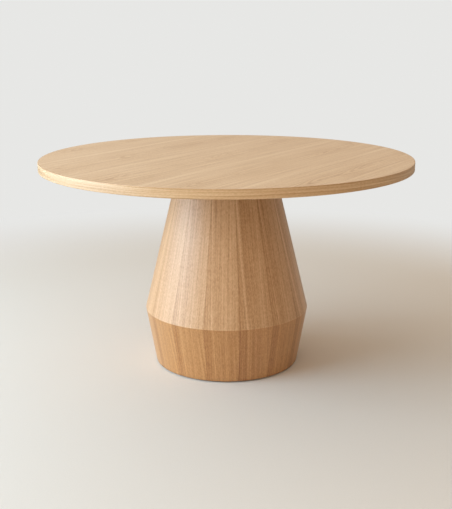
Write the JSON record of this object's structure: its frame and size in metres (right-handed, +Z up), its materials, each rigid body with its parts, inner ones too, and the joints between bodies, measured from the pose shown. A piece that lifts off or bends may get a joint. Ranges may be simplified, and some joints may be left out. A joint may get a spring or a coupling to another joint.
{
  "type": "round pedestal dining table",
  "caption": "Round veneered dining table on a hollow two-cone drum pedestal that widens to a belt near the floor and narrows to its foot.",
  "frame": {"origin": "on the floor, under the centre of the pedestal", "axes": "+Z up, -Y towards the front, the drum and the top are round about Z"},
  "size_m": [1.3, 1.2998, 0.745],
  "materials": {
    "oak_top_veneer": "matt lacquered oak veneer, straight grain",
    "oak_back_veneer": "sealed oak veneer",
    "oak_lipping": "matt lacquered oak",
    "oak_drum_veneer": "matt lacquered oak veneer, slip-matched",
    "mdf": "raw fibreboard",
    "plywood": "sealed birch plywood",
    "black_steel": "black powder coat",
    "ballast_iron": "painted cast iron",
    "zinc_steel": "bright zinc",
    "nylon": "black nylon"
  },
  "bodies": {
    "table": {"tabletop_core": "mdf", "tabletop_face_veneer": "oak_top_veneer", "tabletop_back_veneer": "oak_back_veneer", "edge_lipping_front": "oak_lipping", "edge_lipping_back": "oak_lipping", "mounting_plate": "black_steel", "plate_screws": "zinc_steel", "connecting_bolts": "zinc_steel", "bolt_washers": "zinc_steel", "upper_drum_veneer": "oak_drum_veneer", "lower_drum_veneer": "oak_drum_veneer", "head_board": "plywood", "belt_ring": "plywood", "base_board": "plywood", "access_cover": "plywood", "ballast_ring": "ballast_iron", "ballast_bolts": "zinc_steel", "cover_screws": "zinc_steel", "glide_inserts": "zinc_steel", "upper_stave_01": "mdf", "upper_stave_02": "mdf", "upper_stave_03": "mdf", "upper_stave_04": "mdf", "upper_stave_05": "mdf", "upper_stave_06": "mdf", "upper_stave_07": "mdf", "upper_stave_08": "mdf", "upper_stave_09": "mdf", "upper_stave_10": "mdf", "upper_stave_11": "mdf", "upper_stave_12": "mdf", "upper_stave_13": "mdf", "upper_stave_14": "mdf", "upper_stave_15": "mdf", "lower_stave_01": "mdf", "lower_stave_02": "mdf", "lower_stave_03": "mdf", "lower_stave_04": "mdf", "lower_stave_05": "mdf", "lower_stave_06": "mdf", "lower_stave_07": "mdf", "lower_stave_08": "mdf", "lower_stave_09": "mdf", "lower_stave_10": "mdf", "lower_stave_11": "mdf", "lower_stave_12": "mdf", "lower_stave_13": "mdf", "lower_stave_14": "mdf", "lower_stave_15": "mdf"},
    "glide_foot_1": {"glide_foot_1": "nylon"},
    "glide_stem_1": {"glide_stem_1": "zinc_steel"},
    "glide_foot_2": {"glide_foot_2": "nylon"},
    "glide_stem_2": {"glide_stem_2": "zinc_steel"},
    "glide_foot_3": {"glide_foot_3": "nylon"},
    "glide_stem_3": {"glide_stem_3": "zinc_steel"},
    "glide_foot_4": {"glide_foot_4": "nylon"},
    "glide_stem_4": {"glide_stem_4": "zinc_steel"},
    "glide_foot_5": {"glide_foot_5": "nylon"},
    "glide_stem_5": {"glide_stem_5": "zinc_steel"}
  },
  "joints": [
    {"name": "glide_1_travel", "type": "slide", "parent": "table", "child": "glide_foot_1", "axis": [0, 0, 1], "range_m": [-0.01, 0]},
    {"name": "glide_1_spin", "type": "hinge", "parent": "glide_foot_1", "child": "glide_stem_1", "pos_m": [-0.01073, -0.20472, 0.01], "axis": [0, 0, 1], "range_deg": [-2880, 0]},
    {"name": "glide_2_travel", "type": "slide", "parent": "table", "child": "glide_foot_2", "axis": [0, 0, 1], "range_m": [-0.01, 0]},
    {"name": "glide_2_spin", "type": "hinge", "parent": "glide_foot_2", "child": "glide_stem_2", "pos_m": [0.19138, -0.07347, 0.01], "axis": [0, 0, 1], "range_deg": [-2880, 0]},
    {"name": "glide_3_travel", "type": "slide", "parent": "table", "child": "glide_foot_3", "axis": [0, 0, 1], "range_m": [-0.01, 0]},
    {"name": "glide_3_spin", "type": "hinge", "parent": "glide_foot_3", "child": "glide_stem_3", "pos_m": [0.12901, 0.15932, 0.01], "axis": [0, 0, 1], "range_deg": [-2880, 0]},
    {"name": "glide_4_travel", "type": "slide", "parent": "table", "child": "glide_foot_4", "axis": [0, 0, 1], "range_m": [-0.01, 0]},
    {"name": "glide_4_spin", "type": "hinge", "parent": "glide_foot_4", "child": "glide_stem_4", "pos_m": [-0.11165, 0.17193, 0.01], "axis": [0, 0, 1], "range_deg": [-2880, 0]},
    {"name": "glide_5_travel", "type": "slide", "parent": "table", "child": "glide_foot_5", "axis": [0, 0, 1], "range_m": [-0.01, 0]},
    {"name": "glide_5_spin", "type": "hinge", "parent": "glide_foot_5", "child": "glide_stem_5", "pos_m": [-0.19801, -0.05306, 0.01], "axis": [0, 0, 1], "range_deg": [-2880, 0]}
  ],
  "couplings": [
    {"joint": "glide_1_travel", "follows": "glide_1_spin", "m_per_rad": 0.00019894},
    {"joint": "glide_2_travel", "follows": "glide_2_spin", "m_per_rad": 0.00019894},
    {"joint": "glide_3_travel", "follows": "glide_3_spin", "m_per_rad": 0.00019894},
    {"joint": "glide_4_travel", "follows": "glide_4_spin", "m_per_rad": 0.00019894},
    {"joint": "glide_5_travel", "follows": "glide_5_spin", "m_per_rad": 0.00019894}
  ]
}
